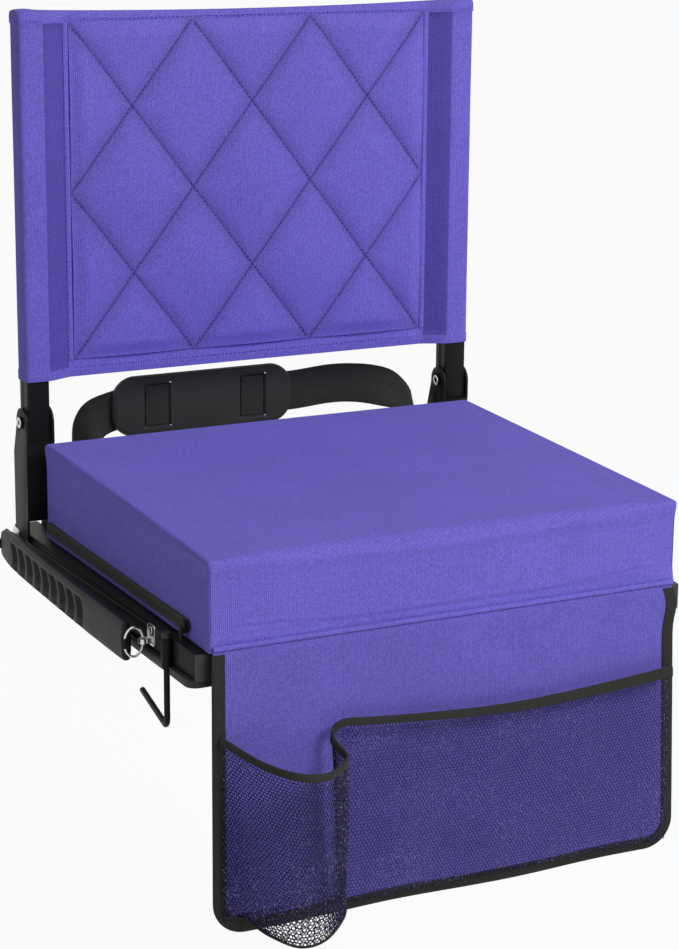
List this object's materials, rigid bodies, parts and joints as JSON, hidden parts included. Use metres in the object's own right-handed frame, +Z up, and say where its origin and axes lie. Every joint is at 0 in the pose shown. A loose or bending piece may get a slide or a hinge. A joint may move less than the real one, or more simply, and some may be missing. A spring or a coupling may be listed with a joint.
{
  "type": "stadium seat",
  "caption": "Padded portable stadium seat with a quilted fold-down back, bench hooks, side carry handle, shoulder strap and a front apron with net and cup pockets.",
  "frame": {"origin": "on the bench face, midway between the two skid strips and under the middle of the cushion", "axes": "+Z up, +Y to the back, +X to the right as seen from the front"},
  "size_m": [0.4856, 0.5057, 0.693],
  "materials": {
    "purple_cloth": "woven polyester",
    "foam": "open-cell foam",
    "black_tape": "woven tape",
    "net": "knitted net",
    "black_steel": "powder coat",
    "bright_steel": "zinc plated",
    "black_plastic": "moulded",
    "black_rubber": "moulded",
    "board": "stained plywood"
  },
  "bodies": {
    "base": {"side_rail_left": "black_steel", "side_rail_right": "black_steel", "front_crossbar": "black_steel", "middle_crossbar": "black_steel", "rear_crossbar": "black_steel", "rail_end_caps": "black_plastic", "skid_left": "black_rubber", "skid_right": "black_rubber", "base_board": "board", "board_screws": "bright_steel", "seat_foam": "foam", "cushion_cover": "purple_cloth", "zipper_tape": "black_tape", "hinge_bracket_left": "black_steel", "hinge_bracket_right": "black_steel", "bracket_rivets": "bright_steel", "pivot_rivets": "bright_steel", "pivot_washers": "black_plastic", "hook_sleeves": "black_steel", "handle_clip_front": "bright_steel", "handle_clip_rear": "bright_steel", "handle_screws": "bright_steel", "apron_strip": "black_tape", "strap_lugs": "black_steel"},
    "back": {"back_post_left": "black_steel", "back_post_right": "black_steel", "post_top_caps": "black_plastic", "back_brace": "black_steel", "back_cover": "purple_cloth", "back_top_hem": "purple_cloth", "back_piping": "purple_cloth", "back_quilt": "purple_cloth"},
    "hook_left": {"bench_hook_left": "black_steel", "hook_cap_left": "black_rubber"},
    "hook_right": {"bench_hook_right": "black_steel", "hook_cap_right": "black_rubber"},
    "handle": {"handle_rings": "bright_steel", "handle_grip": "black_rubber"},
    "zipper": {"zipper_slider": "bright_steel", "zipper_pull": "bright_steel"},
    "apron": {"apron_panel": "purple_cloth", "apron_binding": "black_tape", "pocket_net": "net", "pocket_binding": "black_tape", "cup_net": "net", "cup_rim_binding": "black_tape", "cup_base_net": "net"},
    "strap": {"strap_rings": "bright_steel", "strap_swivels": "black_plastic", "strap_webbing_left": "black_tape", "strap_webbing_right": "black_tape", "strap_pad": "black_rubber", "strap_pad_loops": "black_tape", "strap_adjuster": "black_plastic"}
  },
  "joints": [
    {"name": "back_fold", "type": "hinge", "parent": "base", "child": "back", "pos_m": [0, 0.209, 0.13], "axis": [1, 0, 0], "range_deg": [0, 90]},
    {"name": "hook_left_swivel", "type": "hinge", "parent": "base", "child": "hook_left", "pos_m": [-0.227, -0.126, 0.017], "axis": [0, 0, 1], "range_deg": [-90, 90]},
    {"name": "hook_right_swivel", "type": "hinge", "parent": "base", "child": "hook_right", "pos_m": [0.227, -0.126, 0.017], "axis": [0, 0, 1], "range_deg": [-90, 90]},
    {"name": "handle_swing", "type": "hinge", "parent": "base", "child": "handle", "pos_m": [-0.2295, 0, 0.015], "axis": [0, 1, 0], "range_deg": [-23, 25]},
    {"name": "zipper_slide", "type": "slide", "parent": "base", "child": "zipper", "axis": [0, 1, 0], "range_m": [0, 0.285]},
    {"name": "apron_swing", "type": "hinge", "parent": "base", "child": "apron", "pos_m": [0, -0.183, 0.031], "axis": [-1, 0, 0], "range_deg": [0, 80]},
    {"name": "strap_swing", "type": "hinge", "parent": "base", "child": "strap", "pos_m": [0, 0.226, 0.018], "axis": [-1, 0, 0], "range_deg": [0, 110]}
  ]
}
